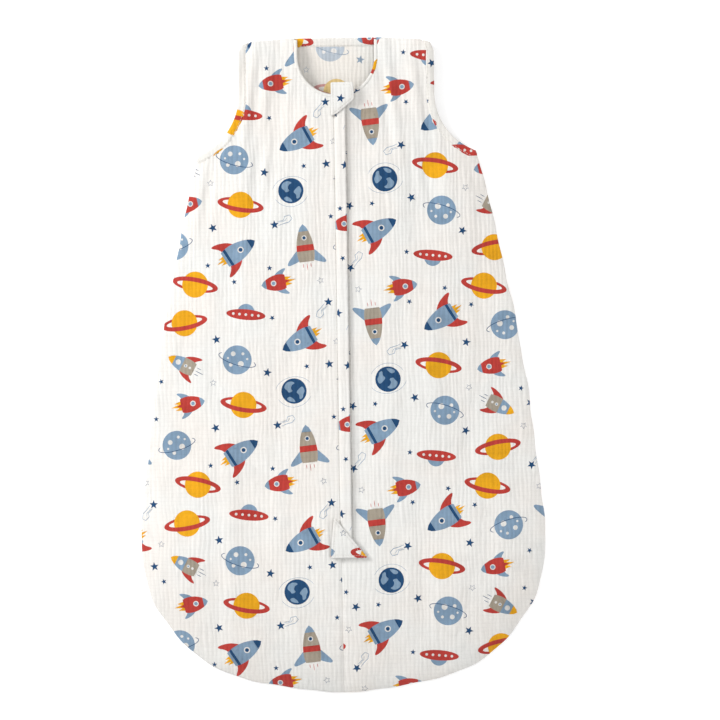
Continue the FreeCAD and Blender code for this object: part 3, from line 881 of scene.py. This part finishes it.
outline = back_outline()
plan, faces, inks = cut_cloth(outline, 4.2, printed(outline, PRINT_AT["back"][0]))
back = thick_cloth("back", plan, faces, inks, back_z(plan), PLY, MUSLIN, face_up=False)
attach(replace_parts(back, "back_panel"), "bag")
as_sheet(back)
plan, faces, inks = cut_cloth(outline, 3.4, printed(outline, PRINT_AT["back"][0]))
height = back_z(plan) + PLY + 0.12 + PLY + 0.25 * (1 + noise(plan[:, 0] / 2.6, plan[:, 1] / 34, 44)) * 0.6
back_in = thick_cloth("back_inside", plan, faces, inks, height, PLY, LINING, FADED)
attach(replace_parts(back_in, "back_lining"), "bag")
as_sheet(back_in)


# ---------------------------------------------------------------- bindings

def even(points, count):
    """The same line cut into equal steps."""
    points = np.asarray(points, float)
    lengths = np.concatenate([[0], np.cumsum(np.hypot(*np.diff(points, axis=0).T))])
    stops = np.linspace(0, lengths[-1], count)
    return np.stack([np.interp(stops, lengths, points[:, k]) for k in (0, 1)], 1)


def band(name, edge, seam, height, drop, puff=0.7, seed=70, offset=(0.0, 0.0)):
    """A folded binding between an opening's edge and its sewn line, puffed between, puckered at the seam."""
    length = np.hypot(*np.diff(edge, axis=0).T).sum()
    count = int(length / 1.5) + 2
    edge, seam = even(edge, count), even(seam, count)
    outline = np.concatenate([edge, seam[::-1]])
    plan, faces, inks = cut_cloth(outline, 1.1, printed(outline, offset))
    out, into = line_gap(plan, edge), line_gap(plan, seam)
    share = out / (out + into)
    rounded = [-0.6, 0.45, 0.95, 1.0, 0.85, 0.3, 0.0]
    lift = puff * np.interp(share, [0, 0.08, 0.28, 0.5, 0.78, 0.93, 1], rounded)
    x, y = plan[:, 0], plan[:, 1]
    lift += 0.2 * noise((x + y) / 2.6, (x - y) / 2.6, seed) * np.sin(np.pi * share)
    return thick_cloth(name, plan, faces, inks, height(plan) + lift, drop, BINDING)


def flipped(points, side):
    return np.asarray(points) if side == "right" else np.asarray(points) * [-1, 1]


def back_top(points):
    return back_z(points) + 2 * PLY + 0.35


SHOULDER_END = np.array([[STRAP_X - 3.4, SHOULDER_Y + 8.6]])
SHOULDER_SEAM_END = np.array([[STRAP_X - ARM_BAND - 2.6, TOP_Y - 4.4]])
for side in ("left", "right"):
    edge = flipped(np.concatenate([armhole(0), SHOULDER_END]), side)
    seam = flipped(np.concatenate([armhole(ARM_BAND), SHOULDER_SEAM_END]), side)
    front = band(side + "_armhole_binding", edge, seam, plain_z, 2.3, seed=71, offset=(-150.0, -180.0))
    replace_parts(front, side + "_armhole_binding_front")
    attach(front, "bag")
    rear = band(side + "_armhole_binding_rear", edge, seam, back_top, 1.2, puff=0.35, seed=73,
                offset=(-95.0, -140.0))
    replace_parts(rear, side + "_armhole_binding_back")
    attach(rear, "bag")
    sewn = even(edge, 150) * 0.2 + even(seam, 150) * 0.8
    thread = stitches(side + "_armhole_stitching", np.column_stack([sewn, plain_z(sewn) + 0.58]), THREAD)
    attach(thread, "bag")

    stop = RIGHT_EDGE if side == "right" else -LEFT_EDGE
    edge, seam = flipped(neck(0, stop), side), flipped(neck(NECK_BAND, stop), side)
    neckband = band(side + "_neck_edge", edge, seam, plain_z, 2.3, puff=0.6, seed=75, offset=(-40.0, -210.0))
    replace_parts(neckband, side + "_neck_binding", side + "_neck_side_binding")
    over_fold(neckband)

edge = line((-NECK_R - 2.5, TOP_Y), (NECK_R + 2.5, TOP_Y))
seam = line((-NECK_R - 2.5, TOP_Y - BACK_BAND), (NECK_R + 2.5, TOP_Y - BACK_BAND))
neck_back = band("back_neck_binding", edge, seam, back_top, 1.3, puff=0.75, seed=77, offset=(-90.0, -90.0))
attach(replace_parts(neck_back, "back_neck_band"), "bag")
sewn = edge * 0.14 + seam * 0.86
thread = stitches("back_neck_stitching", np.column_stack([sewn, back_top(sewn) + 0.55]), THREAD)
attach(thread, "bag")

# Topstitching beside the zip.
for side, edge, way in (("left", LEFT_EDGE, -1), ("right", RIGHT_EDGE, 1)):
    run = line((edge + way * 2.6, ZIP_FOOT_Y + 3), (edge + way * 2.6, NECK_Y - NECK_R - NECK_BAND - 1), 2)
    thread = stitches(side + "_zip_stitching", np.column_stack([run, front_z(run) + 0.1]), THREAD)
    over_fold(thread)


# ---------------------------------------------------------------- zip and what covers it

COIL_PITCH, WIRE_R, TAPE_DROP, COIL_DROP = 1.25, 0.22, 2.95, 2.05
for side, way in (("left", -1), ("right", 1)):
    low, high = low_high("zip_tape_" + side)
    rows = line((0, low[1]), (0, high[1]), 1.5)[:, 1]
    columns = np.linspace(low[0] + 0.2, high[0] - 0.2, 14)
    plan, faces = grid_cloth(columns, rows)
    x, y = plan.T
    rib = 0.12 * np.cos((x - ZIP_X) * 2 * math.pi / 2.6)
    tape = thick_cloth("woven_tape_" + side, plan, faces, [None] * len(faces),
                       zip_z(y) - TAPE_DROP + rib, 0.4, TAPE)
    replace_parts(tape, "zip_tape_" + side)
    over_foot(tape)

    for node, lower in (("zip_coil_" + side, False), ("zip_lower_coil_" + side, True)):
        low, high = low_high(node)
        turns = (high[1] - low[1] - 0.6) / COIL_PITCH
        turn = np.linspace(0, 2 * math.pi * turns, int(turns * 9))
        x = (low[0] + high[0]) / 2 + 0.55 * np.cos(turn) * -way
        y = low[1] + 0.3 + turn / (2 * math.pi) * COIL_PITCH
        z = zip_z(y) - COIL_DROP + 0.46 * np.sin(turn)
        corner = np.arange(5) * 2 * math.pi / 5
        ring = WIRE_R * np.stack([np.cos(corner), np.sin(corner)], 1)
        spine = frames_along(np.stack([x, y, z], 1), (0.1, 1, 0.2))
        coil = ribbon(node.replace("zip_", "spiral_"), spine, ring, [COIL])
        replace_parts(coil, node)
        if lower:
            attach(coil, "bag")
        else:
            over_foot(coil)


def rectangle(left, foot, right, top, across, along):
    """The outline of an upright strip, with the steps across and along it."""
    sides = [line((left, foot), (right, foot), across), line((right, foot), (right, top), along)[1:],
             line((right, top), (left, top), across)[1:], line((left, top), (left, foot), along)[1:-1]]
    return np.concatenate(sides)


low, high = low_high("zip_guard")
outline = rectangle(low[0], low[1], high[0], high[1], 3, 3)
plan, faces, inks = cut_cloth(outline, 3.0)
drift = 0.12 * noise(plan[:, 0] / 3, plan[:, 1] / 22, 91)
guard = thick_cloth("inner_guard", plan, faces, inks, zip_z(plan[:, 1]) - 5.45 + drift, 0.7, LINING)
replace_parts(guard, "zip_guard")
over_foot(guard)
as_sheet(guard)


def smooth_corners(points, cut=2.2):
    """A plan outline with its corners rounded off."""
    points = np.asarray(points, float)
    result = []
    for before, corner, after in zip(np.roll(points, 1, 0), points, np.roll(points, -1, 0)):
        a = corner + (before - corner) / np.linalg.norm(before - corner) * cut
        b = corner + (after - corner) / np.linalg.norm(after - corner) * cut
        for share in np.linspace(0, 1, 6):
            result.append(a * (1 - share) ** 2 + 2 * corner * share * (1 - share) + b * share ** 2)
    dense = []
    for a, b in zip(result, result[1:] + result[:1]):
        dense.extend(line(a, b, 1.5)[:-1])
    return np.array(dense)


# The strip that covers the zip: sewn down on the left, its free edge rolled on the right.
STRIP_LEFT, STRIP_RIGHT = ZIP_X - 6.4, ZIP_X + 5.5
strip_low, strip_high = low_high("zip_cover_end")[0][1], low_high("zip_cover")[1][1]
outline = rectangle(STRIP_LEFT, strip_low, STRIP_RIGHT, strip_high, 1.3, 1.6)
plan, faces, inks = cut_cloth(outline, 1.3, printed(outline, (-120.0, -290.0)))
u = plan[:, 0] - ZIP_X
rise = np.interp(u, [-6.4, -5.6, -4.4, -2.5, 2.5, 4.0, 4.8, 5.5], [0.6, 1.5, 2.9, 3.45, 3.5, 3.7, 3.95, 3.35])
ripple = 0.16 * noise(u / 3, plan[:, 1] / 7, 95) + 0.22 * noise(u / 20, plan[:, 1] / 26, 96)
height = zip_z(plan[:, 1]) + rise + ripple * ease(u, -6.4, -3)
strip = thick_cloth("cover_strip", plan, faces, inks, height, 0.55, STRIPE)
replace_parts(strip, "zip_cover", "zip_cover_end")
over_foot(strip)
as_sheet(strip)


def zip_plan(corners):
    """Corners given across and along the zip, as places in the shared plan."""
    lean = math.cos(math.atan(ZIP_DROP))
    return np.array([(ZIP_X + u, ZIP_FOOT_Y + v * lean) for u, v in corners])


def flap(name, corners, node, body, offset, sewn_side):
    """A small padded flap over the zip, printed, with its sewn side let down to the panel."""
    outline = smooth_corners(zip_plan(corners))
    plan, faces, inks = cut_cloth(outline, 1.1, printed(outline, offset))
    gap = line_gap(plan, np.concatenate([outline, outline[:1]]))
    pillow = 4.75 + 0.95 * (1 - np.exp(-gap / 1.6)) + 0.12 * noise(plan[:, 0] / 2.4, plan[:, 1] / 6, 98)
    groove = 0.5 * np.exp(-((gap - 2.3) / 0.5) ** 2) - 0.45 * np.exp(-((gap - 1.0) / 0.6) ** 2)
    piece = thick_cloth(name, plan, faces, inks, zip_z(plan[:, 1]) + pillow - groove, 0.75, STRIPE)
    foot = zip_plan(sewn_side)
    rows = line(foot[0], foot[1], 1.4)
    inward = np.array([foot[0][1] - foot[1][1], foot[1][0] - foot[0][0]])
    inward = inward / np.linalg.norm(inward)
    if inward @ (outline.mean(0) - foot[0]) < 0:
        inward = -inward
    across, up = np.array([*inward, 0.0]), np.array([0, 0, 1.0])
    spine = [(np.array([*(p + inward * 0.9), zip_z(p[1])]), across, up) for p in rows]
    section = [(-0.7, 0.5), (0.5, 0.5), (0.75, 2.6), (0.6, 4.7), (-0.35, 5.1), (-0.95, 3)]
    wall = ribbon(name + "_side", spine, section, [STRIPE])
    run = np.roll(outline, -1, 0) - np.roll(outline, 1, 0)
    run /= np.linalg.norm(run, axis=1, keepdims=True)
    ring = outline + np.column_stack([-run[:, 1], run[:, 0]]) * 2.6 * np.sign(signed_area(outline))
    sewn = np.column_stack([ring, zip_z(ring[:, 1]) + 5.32])
    thread = stitches(name + "_stitching", sewn, THREAD, 2.0, 0.8, 0.4)
    whole = joined(name, [piece, wall, thread])
    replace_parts(whole, node)
    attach(whole, body)


def signed_area(points):
    ahead = np.roll(points, -1, 0)
    return (points[:, 0] * ahead[:, 1] - points[:, 1] * ahead[:, 0]).sum() / 2


CHIN = [(-9.4, 503.5), (14.5, 503.5), (15.5, 485.5), (-2.5, 470.5), (-9.4, 467.5)]
GARAGE = [(-17.5, -1.5), (22.1, -1.5), (-13.1, 42)]
CHIN_SIDE = ((-9.4, 503.0), (-9.4, 468.0))
GARAGE_SIDE = ((-16.5, -1.5), (21.0, -1.5))
flap("chin_guard_cloth", CHIN, "chin_guard", "chin_flap", (-113.5, 151.0), CHIN_SIDE)
flap("zip_garage_cloth", GARAGE, "zip_garage", "bag", (-60.0, -300.0), GARAGE_SIDE)

low, high = low_high("care_label")
columns, rows = np.linspace(low[0] + 0.3, high[0] - 0.3, 20), np.linspace(low[1] + 0.3, high[1] - 0.3, 34)
plan, faces = grid_cloth(columns, rows)
x = plan[:, 0]
curl = low[2] + 0.45 + 0.12 * np.cos(x * 0.5) + 0.35 * ease(x, high[0] - 9, high[0])
label = thick_cloth("sewn_label", plan, faces, [None] * len(faces), curl, 0.25, LABEL)
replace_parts(label, "care_label")
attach(label, "bag")
as_sheet(label)

for side in ("left", "right"):
    panel, plan, faces = fronts[side]
    as_sheet(panel)


# ---------------------------------------------------------------- CAD pieces that stay, with their finish

FINISHES = {"zip_slider": METAL, "zip_pull": METAL, "zip_top_stop_left": METAL, "zip_top_stop_right": METAL,
            "zip_bottom_stop": METAL, "zip_lower_tapes": TAPE}
for node, material in FINISHES.items():
    data = frame["nodes"][node].data
    data.materials.clear()
    data.materials.append(material)


# ---------------------------------------------------------------- table, light and camera

def white_table():
    material, tree, shader, _ = new_material("white_paper")
    grain = add(tree, "TexNoise", {"Scale": 300}).outputs["Fac"]
    fill(tree, shader, {"Base Color": mixed(tree, grain, (0.93, 0.93, 0.93), (0.95, 0.95, 0.95)),
                        "Roughness": 0.9, "Specular IOR Level": 0.1,
                        "Emission Color": (1, 1, 1, 1), "Emission Strength": 0.22})
    bpy.ops.mesh.primitive_plane_add(size=30, location=(0, 0, -0.0004))
    floor = bpy.context.object
    floor.name = "table"
    floor.data.materials.append(material)


def lamp(name, place, energy, size, aim=(0, 0, 0)):
    data = bpy.data.lights.new(name, "AREA")
    data.energy, data.size = energy, size
    obj = bpy.data.objects.new(name, data)
    obj.location = place
    obj.rotation_euler = (Vector(aim) - Vector(place)).to_track_quat("-Z", "Y").to_euler()
    bpy.context.scene.collection.objects.link(obj)


white_table()
lamp("key", (-2.1, 1.1, 1.35), 54, 0.9)
lamp("fill", (1.7, -0.3, 1.7), 16, 2.2)
lamp("top", (0.1, 0.3, 2.6), 12, 2.4)
world = bpy.data.worlds.new("studio")
world.use_nodes = True
world.node_tree.nodes["Background"].inputs["Color"].default_value = (1, 1, 1, 1)
world.node_tree.nodes["Background"].inputs["Strength"].default_value = 0.55
bpy.context.scene.world = world
bpy.context.scene.view_settings.view_transform = "Standard"

FRAME_HEIGHT, CAMERA_HEIGHT, CAMERA_LEAN = 0.767, 2.6, -0.0161
camera_data = bpy.data.cameras.new("camera")
camera_data.sensor_width = camera_data.sensor_height = 36
camera_data.sensor_fit = "VERTICAL"
camera_data.lens = 36 * (CAMERA_HEIGHT - 0.012) / FRAME_HEIGHT
camera = bpy.data.objects.new("camera", camera_data)
camera.location = (0.0206, 0.0048, CAMERA_HEIGHT)
camera.rotation_euler = (0, 0, CAMERA_LEAN)
bpy.context.scene.collection.objects.link(camera)
bpy.context.scene.camera = camera

bpy.context.view_layer.update()
